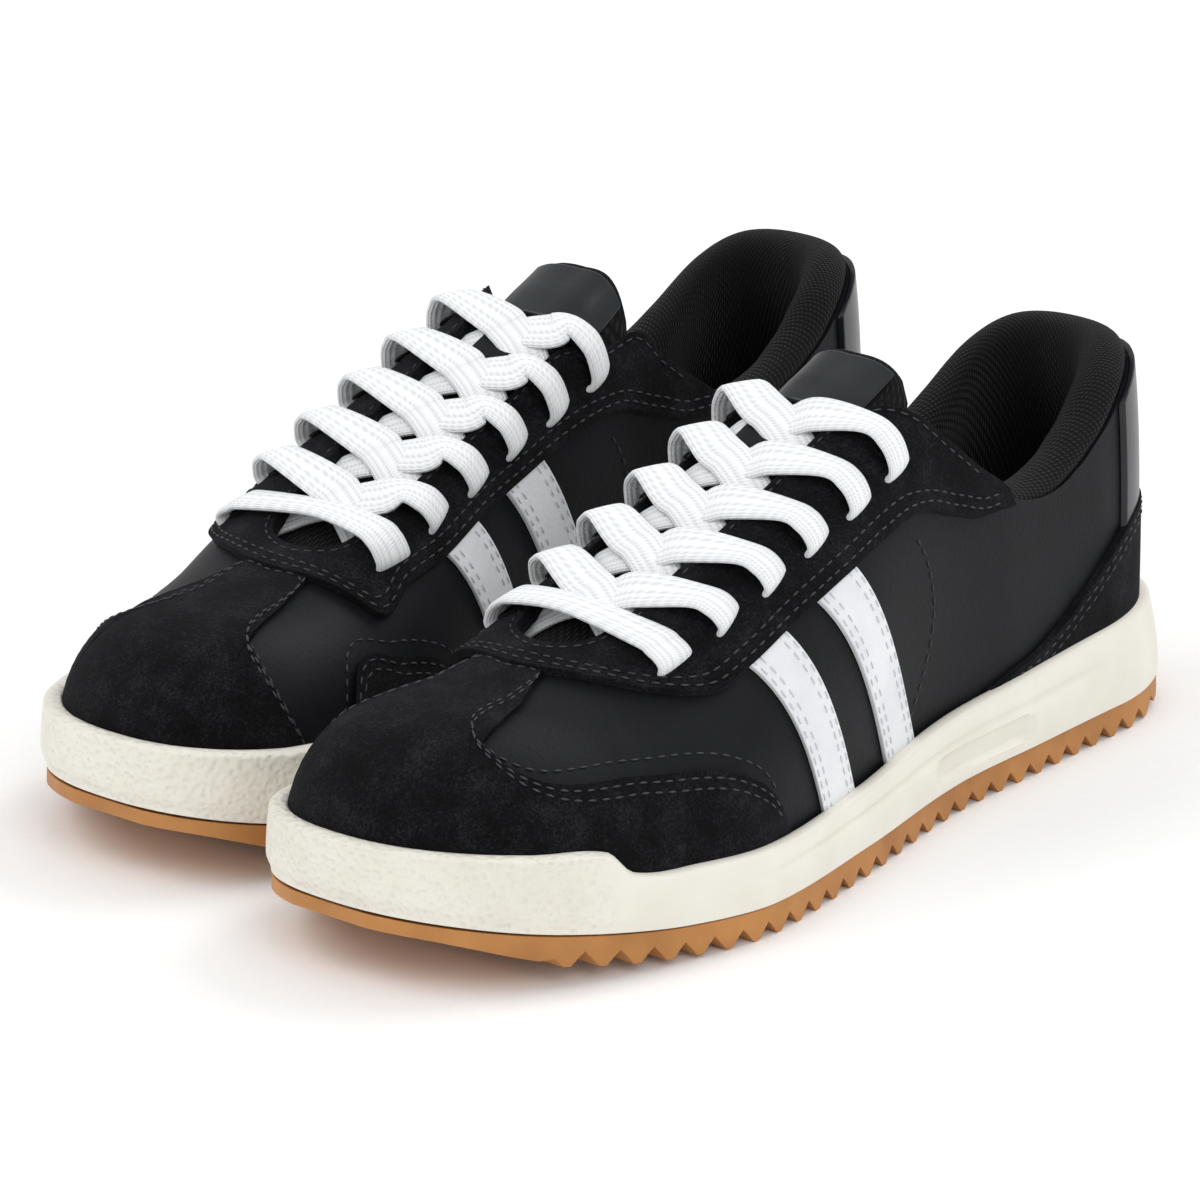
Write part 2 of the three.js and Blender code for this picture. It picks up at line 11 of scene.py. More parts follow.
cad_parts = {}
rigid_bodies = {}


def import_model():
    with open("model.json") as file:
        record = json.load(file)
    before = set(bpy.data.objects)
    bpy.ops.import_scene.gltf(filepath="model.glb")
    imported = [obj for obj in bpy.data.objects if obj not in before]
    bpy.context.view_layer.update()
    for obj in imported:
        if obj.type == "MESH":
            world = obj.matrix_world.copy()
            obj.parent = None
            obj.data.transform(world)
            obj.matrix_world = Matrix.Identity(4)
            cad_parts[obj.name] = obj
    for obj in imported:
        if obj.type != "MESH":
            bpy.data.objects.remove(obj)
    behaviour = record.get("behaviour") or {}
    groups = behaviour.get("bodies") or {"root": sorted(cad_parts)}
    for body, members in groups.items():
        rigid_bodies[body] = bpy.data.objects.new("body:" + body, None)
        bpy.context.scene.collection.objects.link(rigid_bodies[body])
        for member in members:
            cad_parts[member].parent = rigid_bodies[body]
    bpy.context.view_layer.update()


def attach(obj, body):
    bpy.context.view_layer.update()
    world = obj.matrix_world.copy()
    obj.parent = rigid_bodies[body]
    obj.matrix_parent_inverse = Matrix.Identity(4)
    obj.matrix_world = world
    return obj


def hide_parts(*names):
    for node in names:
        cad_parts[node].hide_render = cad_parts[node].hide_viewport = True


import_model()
mm = 0.001
weld = 0.004  # points nearer to each other than this become one, in millimetres

studio = {
    "azimuth": 40.351,
    "elevation": 19.054,
    "distance": 1.5376,
    "lens": 197.4,
    "sensorWidth": 36,
    "farthest": 20,
    "target": (-0.00075, -0.00327, 0.04072),
    "floorColor": "#ffffff",
    "floorHalf": 6,
    "worldStrength": 0.66,
    "lights": [  # place, size and power of each soft box
        ((-0.9, -1.0, 1.5), 1.2, 11),
        ((1.3, -0.6, 1.0), 1.0, 6),
        ((0.3, 1.2, 1.4), 1.0, 9.5),
    ],
}


def linear(hexColor):
    parts = [int(hexColor[i : i + 2], 16) / 255 for i in (1, 3, 5)]
    return [c / 12.92 if c <= 0.04045 else ((c + 0.055) / 1.055) ** 2.4 for c in parts] + [1.0]


def buildStudio():
    camera = bpy.data.objects.new("camera", bpy.data.cameras.new("camera"))
    bpy.context.collection.objects.link(camera)
    a = math.radians(studio["azimuth"])
    e = math.radians(studio["elevation"])
    back = Vector((math.sin(a) * math.cos(e), -math.cos(a) * math.cos(e), math.sin(e)))
    camera.location = Vector(studio["target"]) + back * studio["distance"]
    camera.rotation_euler = back.to_track_quat("Z", "Y").to_euler()
    camera.data.lens = studio["lens"]
    camera.data.sensor_width = studio["sensorWidth"]
    camera.data.clip_end = studio["farthest"]
    bpy.context.scene.camera = camera

    world = bpy.data.worlds.new("studio")
    world.use_nodes = True
    world.node_tree.nodes["Background"].inputs["Color"].default_value = (1, 1, 1, 1)
    world.node_tree.nodes["Background"].inputs["Strength"].default_value = studio["worldStrength"]
    bpy.context.scene.world = world
    bpy.context.scene.view_settings.view_transform = "Standard"
    for corner, size, power in studio["lights"]:
        light = bpy.data.lights.new("softBox", "AREA")
        light.size = size
        light.energy = power
        box = bpy.data.objects.new("softBox", light)
        box.location = corner
        box.rotation_euler = Vector(corner).to_track_quat("Z", "Y").to_euler()
        bpy.context.collection.objects.link(box)

    floorMesh = bmesh.new()
    bmesh.ops.create_grid(floorMesh, x_segments=2, y_segments=2, size=studio["floorHalf"])
    mesh = bpy.data.meshes.new("floor")
    floorMesh.to_mesh(mesh)
    floor = bpy.data.objects.new("floor", mesh)
    bpy.context.collection.objects.link(floor)
    floor.data.materials.append(paperSweep())


# Adds a node to a material with its settings, and links each named input to a value or another socket.
def add(material, kind, settings=None, **inputs):
    made = material.node_tree.nodes.new(kind)
    for name, value in (settings or {}).items():
        setattr(made, name, value)
    for name, value in inputs.items():
        socket = made.inputs[int(name[1:])] if name[0] == "_" else made.inputs[name.replace("_", " ")]
        if isinstance(value, bpy.types.NodeSocket):
            material.node_tree.links.new(value, socket)
        else:
            socket.default_value = value
    return made


def startMaterial(name, color, roughness, **shaderInputs):
    material = bpy.data.materials.new(name)
    material.use_nodes = True
    shader = material.node_tree.nodes["Principled BSDF"]
    shader.inputs["Base Color"].default_value = linear(color)
    shader.inputs["Roughness"].default_value = roughness
    for key, value in shaderInputs.items():
        shader.inputs[key.replace("_", " ")].default_value = value
    material.diffuse_color = linear(color)
    return material, shader


# Tints the base colour by a texture, through stops of (share, colour).
def tint(material, shader, factor, stops):
    made = add(material, "ShaderNodeValToRGB", None, Fac=factor)
    while len(made.color_ramp.elements) < len(stops):
        made.color_ramp.elements.new(0.5)
    for element, (share, color) in zip(made.color_ramp.elements, stops):
        element.position = share
        element.color = linear(color)
    material.node_tree.links.new(made.outputs["Color"], shader.inputs["Base Color"])


def bump(material, shader, height, strength, depth):
    made = add(material, "ShaderNodeBump", None, Height=height, Strength=strength, Distance=depth * mm)
    material.node_tree.links.new(made.outputs["Normal"], shader.inputs["Normal"])


def perMetre(size):
    return 1 / (size * mm)  # a texture scale whose cells are size millimetres wide


def inObject(material):
    return add(material, "ShaderNodeTexCoord").outputs["Object"]


def noise(material, where, size, **inputs):
    made = add(material, "ShaderNodeTexNoise", None, Vector=where, Scale=perMetre(size), **inputs)
    return made.outputs["Fac"]


def cells(material, where, size):
    settings = {"feature": "SMOOTH_F1"}
    made = add(material, "ShaderNodeTexVoronoi", settings, Vector=where, Scale=perMetre(size))
    return made.outputs["Distance"]


# Bands that lie pitch apart on a map that is in millimetres.
def bands(material, direction, pitch, **inputs):
    uv = add(material, "ShaderNodeUVMap").outputs["UV"]
    settings = {"bands_direction": direction}
    scale = 2 * math.pi / pitch / 20
    return add(material, "ShaderNodeTexWave", settings, Vector=uv, Scale=scale, **inputs).outputs["Fac"]


# White paper sweep: matt, only a little shadow shows on it.
def paperSweep():
    material, shader = startMaterial("paperSweep", studio["floorColor"], 0.9)
    grain = noise(material, inObject(material), 3, Detail=3)
    tint(material, shader, grain, [(0.3, "#fdfdfd"), (0.7, "#ffffff")])
    return material


# Split-cow suede: brushed nap, so it takes light softly. The paler strokes where the nap turns are a painted
# sheen in the base colour, mixed with the nap's own fine tone.
def blackSuede():
    material, shader = startMaterial("blackSuede", "#0d0d0e", 0.97, Sheen_Weight=0.1, Sheen_Roughness=0.5)
    shader.inputs["Specular IOR Level"].default_value = 0.1
    shader.inputs["Sheen Tint"].default_value = linear("#8a8c92")
    where = inObject(material)
    paintedSheenStrokes = noise(material, where, 9, Detail=6, Roughness=0.65)
    nap = noise(material, where, 0.7, Detail=4, Roughness=0.8)
    napAndPaintedSheen = add(material, "ShaderNodeMix", {"data_type": "FLOAT"}, Factor=0.6, _2=paintedSheenStrokes, _3=nap)
    # Colour from near black up to a pale grey: the fine nap is the suede's own tone, the large pale strokes
    # are painted sheen.
    tint(material, shader, napAndPaintedSheen.outputs[0], [(0.38, "#050506"), (0.5, "#0f0f11"), (0.62, "#26262a")])
    bump(material, shader, nap, 0.7, 0.5)
    return material


# Corrected-grain leather: dyed through, pressed with a fine grain and finished satin.
def grainLeather(name, colors, roughness, grain, grainDepth, shine):
    low, high = colors
    material, shader = startMaterial(name, high, roughness)
    shader.inputs["Specular IOR Level"].default_value = shine
    where = inObject(material)
    clouds = noise(material, where, 14, Detail=5)
    tint(material, shader, clouds, [(0.35, low), (0.65, high)])
    bump(material, shader, cells(material, where, grain), 0.35, grainDepth)
    return material


# Moulded rubber compound for the cup midsole, with a pebbled texture where the mould was etched.
def cupRubber():
    material, shader = startMaterial("cupRubber", "#efece2", 0.5)
    shader.inputs["Subsurface Weight"].default_value = 0.06
    shader.inputs["Subsurface Radius"].default_value = (0.004, 0.0035, 0.003)
    where = inObject(material)
    clouds = noise(material, where, 22, Detail=4)
    tint(material, shader, clouds, [(0.3, "#e4e0d4"), (0.7, "#eeebe1")])
    etched = add(material, "ShaderNodeAttribute", {"attribute_name": "pebbled"}).outputs["Fac"]
    pebbles = cells(material, where, 1.5)
    height = add(material, "ShaderNodeMath", {"operation": "MULTIPLY"}, _0=pebbles, _1=etched)
    bump(material, shader, height.outputs[0], 0.8, 0.9)
    return material


# Natural gum rubber: caramel, matt from the mould, with faint darker clouds.
def gumRubber():
    material, shader = startMaterial("gumRubber", "#c08343", 0.55)
    shader.inputs["Subsurface Weight"].default_value = 0.08
    shader.inputs["Subsurface Radius"].default_value = (0.004, 0.002, 0.001)
    where = inObject(material)
    tint(material, shader, noise(material, where, 18, Detail=5), [(0.3, "#a96f36"), (0.7, "#c28747")])
    bump(material, shader, noise(material, where, 0.8, Detail=2), 0.25, 0.15)
    return material


# Knitted spacer mesh over foam: rows of small cells, drawn a little coarser than life so that they show.
def spacerMesh():
    material, shader = startMaterial("spacerMesh", "#101012", 0.9, Sheen_Weight=0.06)
    shader.inputs["Specular IOR Level"].default_value = 0.2
    pitch = 1.35
    wales = bands(material, "X", pitch, Distortion=0.4)
    courses = bands(material, "DIAGONAL", pitch)
    height = add(material, "ShaderNodeMath", {"operation": "MULTIPLY"}, _0=wales, _1=courses)
    # The low hollows of the cells are painted darker than the raised knit: painted shade in the cells.
    tint(material, shader, height.outputs[0], [(0.05, "#060607"), (0.6, "#17171a")])
    bump(material, shader, height.outputs[0], 0.8, 0.45)
    return material


# Flat woven polyester lace: lengthwise ribs crossed by the fine steps of the weave.
def wovenLace():
    material, shader = startMaterial("wovenLace", "#f6f7f8", 0.75, Sheen_Weight=0.1)
    ribs = bands(material, "Y", 1.2)
    steps = bands(material, "DIAGONAL", 0.55)
    height = add(material, "ShaderNodeMath", {"operation": "MULTIPLY_ADD"}, _0=steps, _1=0.45, _2=ribs)
    # The low grooves between ribs and steps are painted a darker grey: painted shade on a lace that is all
    # one white.
    tint(material, shader, height.outputs[0], [(0.1, "#dcdee2"), (0.7, "#f5f6f7")])
    bump(material, shader, height.outputs[0], 0.6, 0.3)
    return material


# Bonded nylon thread: twisted, so each stitch is a little glossy.
def sewingThread(name, color):
    material, shader = startMaterial(name, color, 0.5)
    settings = {"bands_direction": "DIAGONAL"}
    scale = perMetre(0.5) / 20
    twist = add(material, "ShaderNodeTexWave", settings, Vector=inObject(material), Scale=scale)
    bump(material, shader, twist.outputs["Fac"], 0.4, 0.1)
    return material


# Pressed fibreboard and moulded sheet for the hidden pieces.
def fibreBoard():
    material, shader = startMaterial("fibreBoard", "#b9a684", 0.9)
    fibres = noise(material, inObject(material), 2, Detail=6)
    tint(material, shader, fibres, [(0.3, "#a8946f"), (0.7, "#c6b592")])
    return material


# Clear butyrate tube shrunk on the lace's end.
def clearTube():
    material, shader = startMaterial("clearTube", "#e4e7ea", 0.12, Transmission_Weight=0.6, IOR=1.48)
    bump(material, shader, noise(material, inObject(material), 2), 0.2, 0.1)
    return material


# The shoe's own sizes in millimetres, and its lines as [station along the shoe, value] pairs.
shoe = {
    "length": 272,
    "spacing": 95,
    "stagger": 13.6,
    "heelRound": 38,
    "heelPower": 2.3,
    "toeRound": 66,
    "toePower": 2.35,
    "ridge": (45, 226),
    "footDrop": 4,  # the upper starts this far under the footbed's line
    "inset": 7.6,  # from the sole's outline to the inner face of the leather
    "toeInset": 5.4,
    "toeInsetSpan": (205, 262),
    "half": [
        [0, 33.5], [35, 33.5], [70, 34], [105, 33.5], [150, 40],
        [190, 47.5], [215, 46.5], [240, 45], [272, 44],
    ],
    "centre": [[0, 0], [60, 1], [110, 4], [150, 6], [190, 4.2], [215, 1], [230, -1.5], [272, -7.5]],
    "ridgeX": [[45, 0], [80, -0.5], [118, -1.4], [150, -2], [195, -3.4], [215, -6], [235, -9]],
    "lift": [[0, 3.5], [18, 1], [36, 0], [185, 0], [215, 1.2], [245, 5], [272, 10.5]],
    "foot": [[0, 18], [60, 17], [110, 14.5], [160, 11.8], [200, 11.6], [235, 14], [272, 20]],
    "rim": [
        [0, 28], [40, 26], [82, 24], [116, 22.5], [146, 20.5], [180, 19.3],
        [210, 20], [227, 21.8], [233, 27.5], [250, 30], [272, 33],
    ],
    "crest": [
        [45, 124], [80, 115], [100, 103], [118, 94], [134, 87], [151, 79.5],
        [168, 72.5], [183, 66], [195, 61], [212, 55], [226, 52],
    ],
    "power": [[0, 3.6], [80, 3.4], [120, 3.3], [150, 3], [170, 2.8], [205, 2.55], [235, 2.6], [272, 2.9]],
    "top": [[0, 88], [14, 87.5], [26, 82], [40, 72.5], [58, 65], [74, 67.5], [90, 78], [102, 89], [108, 96]],
    "throat": [[100, 14.5], [118, 13.8], [150, 13.4], [190, 12.4], [200, 11.4]],
}


# A smooth line through the stations, looked up in a table of four steps to the millimetre.
def line(stations):
    def slope(i):
        a = stations[max(i - 1, 0)]
        b = stations[min(i + 1, len(stations) - 1)]
        return (b[1] - a[1]) / (b[0] - a[0])

    def at(t):
        if t <= stations[0][0]:
            return stations[0][1]
        if t >= stations[-1][0]:
            return stations[-1][1]
        i = next(k for k, p in enumerate(stations) if p[0] > t) - 1
        (t0, v0), (t1, v1) = stations[i], stations[i + 1]
        span = t1 - t0
        k = (t - t0) / span
        return (
            ((2 * k - 3) * k * k + 1) * v0
            + ((k - 2) * k + 1) * k * span * slope(i)
            + (3 - 2 * k) * k * k * v1
            + (k - 1) * k * k * span * slope(i + 1)
        )

    first, last = stations[0][0], stations[-1][0]
    steps = 4
    fine = [at(first + k / steps) for k in range(int((last - first) * steps) + 2)]

    def read(t):
        k = (min(max(t, first), last) - first) * steps
        i = int(k)
        return fine[i] + (fine[i + 1] - fine[i]) * (k - i)

    return read


half, centre, ridgeX = line(shoe["half"]), line(shoe["centre"]), line(shoe["ridgeX"])
foot, rimLevel, crest = line(shoe["foot"]), line(shoe["rim"]), line(shoe["crest"])
power, topLine, throatHalf = line(shoe["power"]), line(shoe["top"]), line(shoe["throat"])
soleLift = line(shoe["lift"])
length = shoe["length"]


def groundLift(t):
    return max(0, soleLift(t))


def roundOff(t):
    heel = min(1, max(0, (shoe["heelRound"] - t) / shoe["heelRound"]))
    toe = min(1, max(0, (t - (length - shoe["toeRound"])) / shoe["toeRound"]))
    n, m = shoe["heelPower"], shoe["toePower"]
    return (1 - heel**n) ** (1 / n) * (1 - toe**m) ** (1 / m)


# The station at share s of the way from heel to toe, closer together at both ends, and its reverse.
def station(s):
    return length * (1 - math.cos(math.pi * s)) / 2


def shareAt(t):
    return math.acos(1 - 2 * min(max(t / length, 0), 1)) / math.pi


# A point of the sole's outline drawn in by inset, for s from heel to toe on one side.
def outline(s, side, inset):
    t = station(s)
    x = centre(t) + side * (half(t) - inset) * roundOff(t)
    return Vector((x, inset + (length - 2 * inset) * t / length))


def ridgeAt(t):
    held = min(max(t, shoe["ridge"][0]), shoe["ridge"][1])
    return Vector((ridgeX(held), held))


def smoothStep(value, low, high):
    k = min(1, max(0, (value - low) / (high - low)))
    return k * k * (3 - 2 * k)


def upperEdge(s, side, offset):
    atToe = smoothStep(station(s), *shoe["toeInsetSpan"])
    return outline(s, side, shoe["inset"] + (shoe["toeInset"] - shoe["inset"]) * atToe - offset)


def upperFoot(t):
    return foot(t) - shoe["footDrop"]


# The upper's face moved out by offset. down is 0 on the ridge and 1 at the sole.
def upperPoint(s, side, down, offset):
    t = station(s)
    ridge = ridgeAt(t)
    edge = upperEdge(s, side, offset)
    n = power(t)
    a = max(0.0, math.sin(down * math.pi / 2))
    b = max(0.0, math.cos(down * math.pi / 2))
    r = (a**n + b**n) ** (-1 / n)
    low = upperFoot(t)
    plan = ridge + (edge - ridge) * (r * a)
    return Vector((plan.x, plan.y, low + (crest(ridge.y) + offset - low) * (r * b)))


# The upper unrolled: a spot is the ridge point plus the way to the outline, times down.
def spot(s, side, down):
    ridge = ridgeAt(station(s))
    return ridge + (upperEdge(s, side, 0) - ridge) * down


def bisect(test, low=0.0, high=1.0):
    for _ in range(20):
        middle = (low + high) / 2
        if test(middle):
            low = middle
        else:
            high = middle
    return (low + high) / 2


def behind(s, side, point, offset):
    ridge = ridgeAt(station(s))
    way = upperEdge(s, side, offset) - ridge
    return side * (way.x * (point.y - ridge.y) - way.y * (point.x - ridge.x)) > 0


def sideOf(point):
    return 1 if point.x >= ridgeAt(point.y).x else -1


def locate(point, offset=0):
    side = sideOf(point)
    s = bisect(lambda k: behind(k, side, point, offset))
    ridge = ridgeAt(station(s))
    reach = (upperEdge(s, side, offset) - ridge).length
    return s, side, (point - ridge).length / reach


def onUpper(point, offset):
    return upperPoint(*locate(point), offset)


# The place of a spot and the way straight out of the upper there.
def upperFrame(point, offset):
    at = onUpper(point, offset)
    return at, (onUpper(point, offset + 1) - at).normalized()


def downFrom(out, n):
    rise = max(0, 1 - min(out, 1) ** n) ** (1 / n)
    return math.atan2(out, rise) * 2 / math.pi


# The spot that is seen at (x, t) from above, or at (t, z) from one side.
def fromAbove(x, t, offset=3):
    s, side, out = locate(Vector((x, t)), offset)
    return spot(s, side, downFrom(out, power(station(s))))


def downAtHeight(s, z, offset):
    t = station(s)
    low = upperFoot(t)
    rise = min(0.995, max(0, (z - low) / (crest(ridgeAt(t).y) + offset - low)))
    n = power(t)
    return math.atan2((1 - rise**n) ** (1 / n), rise) * 2 / math.pi


def fromSide(t, z, side, offset=3):
    s = bisect(lambda k: upperPoint(k, side, downAtHeight(k, z, offset), offset).y < t)
    return spot(s, side, downAtHeight(s, z, offset))


def soleSpot(t, side):
    return spot(shareAt(t), side, 1)


def topDown(s, side, drop):
    def above(down):
        at = upperPoint(s, side, down, layers["leather"][1])
        return at.z > topLine(at.y) - drop

    return bisect(above)


def topSpot(t, side, drop=0.0):
    return spot(shareAt(t), side, topDown(shareAt(t), side, drop))


# Spots along the lateral side up to the shared middle one, then back along the medial side.
def mirrored(makers):
    lateral = [make(1) for make in makers]
    medial = [make(-1) for make in makers[:-1]]
    return lateral + medial[::-1]


# A smooth course through spots, with one equal step from each spot to the next.
def course(spots, closed=False):
    count = len(spots)

    def at(u):
        reach = u * (count if closed else count - 1)
        i = min(int(reach), count - (1 if closed else 2))
        k = reach - i
        pick = (lambda j: spots[j % count]) if closed else (lambda j: spots[min(max(j, 0), count - 1)])
        a, b, c, d = pick(i - 1), pick(i), pick(i + 1), pick(i + 2)
        return (
            b * 2 + (c - a) * k + (a * 2 - b * 5 + c * 4 - d) * k * k + (b * 3 - a - c * 3 + d) * k**3
        ) / 2

    return at


# A place in the left shoe's millimetres, in the metres that the pair stands in.
def toPair(local):
    return Vector((shoe["spacing"] / 2 + local.x, length / 2 - local.y - shoe["stagger"] / 2, local.z)) * mm


# Puts a piece that was worked out for the left shoe on one or both shoes, and hides the frame's parts that it
# stands in for.
def finishPiece(name, bm, material, nodes=(), sides=("left", "right"), bevel=0.0, sharp=35):
    made = []
    for side in sides:
        copy = bm.copy()
        for v in copy.verts:
            v.co = toPair(v.co)
            if side == "right":
                v.co = Vector((-v.co.x, v.co.y + shoe["stagger"] * mm, v.co.z))
        bmesh.ops.remove_doubles(copy, verts=copy.verts, dist=weld * mm)
        bmesh.ops.dissolve_degenerate(copy, dist=weld / 2 * mm, edges=copy.edges)
        bmesh.ops.recalc_face_normals(copy, faces=copy.faces)
        mesh = bpy.data.meshes.new(f"{side}_{name}")
        copy.to_mesh(mesh)
        copy.free()
        mesh.shade_smooth()
        mesh.set_sharp_from_angle(angle=math.radians(sharp))
        mesh.materials.append(material)
        piece = bpy.data.objects.new(f"{side}_{name}", mesh)
        bpy.context.collection.objects.link(piece)
        if bevel:
            rounding = piece.modifiers.new("roundedEdges", "BEVEL")
            rounding.width = bevel * mm
            rounding.segments = 2
            rounding.limit_method = "ANGLE"
            rounding.angle_limit = math.radians(45)
        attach(piece, f"{side}_shoe")
        if nodes:
            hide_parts(*[f"{side}_{node}" for node in nodes])
        made.append(piece)
    bm.free()
    return made


# A flat grid, one unit square from the origin.
def gridMesh(columns, rows):
    bm = bmesh.new()
    bmesh.ops.create_grid(bm, x_segments=columns, y_segments=rows, size=0.5)
    bmesh.ops.translate(bm, verts=bm.verts, vec=(0.5, 0.5, 0))
    return bm


# Gives a grid a cloth map that is as many millimetres wide and long as mapSize says.
def mapCloth(bm, mapSize):
    if not mapSize:
        return
    layer = bm.loops.layers.uv.new("cloth")
    for face in bm.faces:
        for loop in face.loops:
            loop[layer].uv = (loop.vert.co.x * mapSize[0], loop.vert.co.y * mapSize[1])


def fillEnds(bm):
    bmesh.ops.holes_fill(bm, edges=[e for e in bm.edges if e.is_boundary], sides=0)


# Moves all of one mesh into another and lets go of it.
def moveInto(bm, part):
    mesh = bpy.data.meshes.new("part")
    part.to_mesh(mesh)
    bm.from_mesh(mesh)
    bpy.data.meshes.remove(mesh)
    part.free()


# A closed sheet from a grid: shape(u, w, layer) gives each point, with layer 0 and 1 for its two faces.
def sheetSolid(columns, rows, shape, mapSize=None):
    bm = gridMesh(columns, rows)
    back = bmesh.ops.extrude_face_region(bm, geom=bm.faces[:], use_keep_orig=False)["geom"]
    bmesh.ops.translate(bm, verts=[g for g in back if isinstance(g, bmesh.types.BMVert)], vec=(0, 0, 1))
    mapCloth(bm, mapSize)
    for v in bm.verts:
        v.co = shape(v.co.x, v.co.y, round(v.co.z))
    return bm


# A closed skin from a grid whose rows run round a closed section. Open ends are filled.
def tubeSolid(columns, rows, shape, mapSize=None):
    bm = gridMesh(columns, rows)
    mapCloth(bm, mapSize)
    for v in bm.verts:
        v.co = shape(v.co.x, v.co.y)
    bmesh.ops.remove_doubles(bm, verts=bm.verts, dist=weld)
    fillEnds(bm)
    return bm


# A panel of the upper between two courses, inner and outer face at the given offsets.
def panel(low, high, offsets, columns, rows):
    def shape(u, w, layer):
        return onUpper(low(u).lerp(high(u), w), offsets[1 - layer])

    return sheetSolid(columns, rows, shape)


stitching = {
    "pitch": 3.1,
    "stitch": 2.3,
    "thread": 0.27,
    "flat": 0.8,
    "proud": 0.08,
    "longestStep": 8,
    "room": 1.2,  # a panel narrower than this many seam distances isn't sewn
}


# Places and outward ways along a seam that keeps a distance from one edge of a panel.
def seamPoints(low, high, offset, distance, fromHigh=False, span=(0.0, 1.0), steps=900):
    points = []
    for i in range(steps + 1):
        u = span[0] + (span[1] - span[0]) * i / steps
        a, b = (high(u), low(u)) if fromHigh else (low(u), high(u))
        width = (onUpper(b, offset) - onUpper(a, offset)).length
        if width >= abs(distance) * stitching["room"]:
            points.append(upperFrame(a.lerp(b, distance / width), offset))
    return points


def sewSeam(bm, points):
    travelled = 0.0
    for (at, normal), (ahead, _) in zip(points, points[1:]):
        step = (ahead - at).length
        if step > stitching["longestStep"]:
            continue
        travelled += step
        if travelled < stitching["pitch"]:
            continue
        travelled = 0.0
        along = (ahead - at).normalized()
        across = normal.cross(along).normalized()
        turn = Matrix((along, across, normal)).transposed().to_4x4()
        thread = stitching["thread"]
        size = Matrix.Diagonal((stitching["stitch"] / 2, thread, thread * stitching["flat"], 1))
        centreAt = Matrix.Translation(at + normal * stitching["proud"])
        bmesh.ops.create_uvsphere(bm, u_segments=6, v_segments=4, radius=1, matrix=centreAt @ turn @ size)


# Offsets of the layers, outwards from the inner face of the leather.
layers = {"leather": (0.0, 1.3), "overlay": (1.32, 2.7), "stay": (1.35, 3.5), "foxing": (1.32, 3.1)}

# Stations round the back of the shoe, closer together towards the heel.
backStations = (0, 1, 3, 6, 9, 13, 18, 24, 30, 37, 45, 54, 64, 74, 84, 92)


def sameHeight(t, z, side, offset=3):
    return spot(shareAt(t), side, downAtHeight(shareAt(t), z, offset))


def buildLeather():
    pairs = [(lambda k, t=t: soleSpot(t, k), lambda k, t=t: topSpot(t, k)) for t in backStations]
    pairs += [(lambda k: soleSpot(100, k), lambda k: topSpot(101, k))]
    pairs += [(lambda k: soleSpot(112, k), lambda k: fromAbove(ridgeX(114) + k * 17.5, 114))]
    pairs += [
        (lambda k, t=t: soleSpot(t, k), lambda k, t=t: fromAbove(ridgeX(t) + k * throatHalf(t), t))
        for t in (125, 140, 160, 180, 195)
    ]
    pairs += [(lambda k: soleSpot(226, k), lambda k: fromAbove(ridgeX(202) + k * 8.5, 202.5))]
    pairs += [(lambda k: soleSpot(272, k), lambda k: fromAbove(ridgeX(206), 205.5))]
    low = course(mirrored([p[0] for p in pairs])[:-1], closed=True)
    high = course(mirrored([p[1] for p in pairs])[:-1], closed=True)
    bm = panel(low, high, layers["leather"], 320, 26)
    nodes = ("vamp", "quarter_lateral", "quarter_medial")
    finishPiece("upperLeather", bm, blackLeather, nodes, bevel=0.3)


def toeCourses():
    pairs = [  # sole station, then the overlay's upper edge beside it
        (176, lambda k: fromSide(178.5, 21, k)),
        (182, lambda k: fromSide(183, 30, k)),
        (190, lambda k: fromSide(191, 36, k)),
        (202, lambda k: fromSide(203, 39.5, k)),
        (214, lambda k: fromSide(217, 41, k)),
        (227, lambda k: fromAbove(-8 + k * 36, 233)),
        (239, lambda k: fromAbove(-8 + k * 29, 241.5)),
        (249, lambda k: fromAbove(-8 + k * 20, 243)),
        (257, lambda k: fromAbove(-8 + k * 13.5, 239)),
        (264, lambda k: fromAbove(-7.5 + k * 10.3, 230)),
        (269.5, lambda k: fromAbove(-6 + k * 8.6, 211.5)),
        (272, lambda k: fromAbove(-6, 211.5)),
    ]
    low = course(mirrored([lambda side, t=p[0]: soleSpot(t, side) for p in pairs]))
    high = course(mirrored([p[1] for p in pairs]))
    return low, high


def stayCourses():
    pairs = [  # spot on the opening's edge, then the stay's lower edge beside it
        (lambda k: topSpot(77, k), lambda k: fromSide(76.5, 66.5, k)),
        (lambda k: topSpot(86, k), lambda k: fromSide(88, 67, k)),
        (lambda k: topSpot(94, k), lambda k: fromSide(98, 70, k)),
        (lambda k: topSpot(101, k), lambda k: fromSide(108, 73.5, k)),
        (lambda k: fromAbove(ridgeX(114) + k * 17.5, 114), lambda k: fromSide(117, 73.5, k)),
        (lambda k: fromAbove(ridgeX(125) + k * throatHalf(125), 125), lambda k: fromSide(127, 71.5, k)),
        (lambda k: fromAbove(ridgeX(138) + k * throatHalf(138), 138), lambda k: fromSide(141, 68, k)),
        (lambda k: fromAbove(ridgeX(158) + k * throatHalf(158), 158), lambda k: fromSide(159, 63, k)),
        (lambda k: fromAbove(ridgeX(178) + k * throatHalf(178), 178), lambda k: fromSide(179, 56.5, k)),
        (lambda k: fromAbove(ridgeX(194) + k * throatHalf(194), 194), lambda k: fromSide(192.5, 53.3, k)),
        (lambda k: fromAbove(ridgeX(202) + k * 8.5, 202.5), lambda k: fromAbove(-5 + k * 25, 205.5)),
        (lambda k: fromAbove(ridgeX(206), 205.5), lambda k: fromAbove(-5.5, 214)),
    ]
    low = course(mirrored([p[1] for p in pairs]))
    high = course(mirrored([p[0] for p in pairs]))
    return low, high


foxingTop = line([[0, 53], [12, 52.5], [24, 49], [42, 38], [60, 29], [84, 24]])


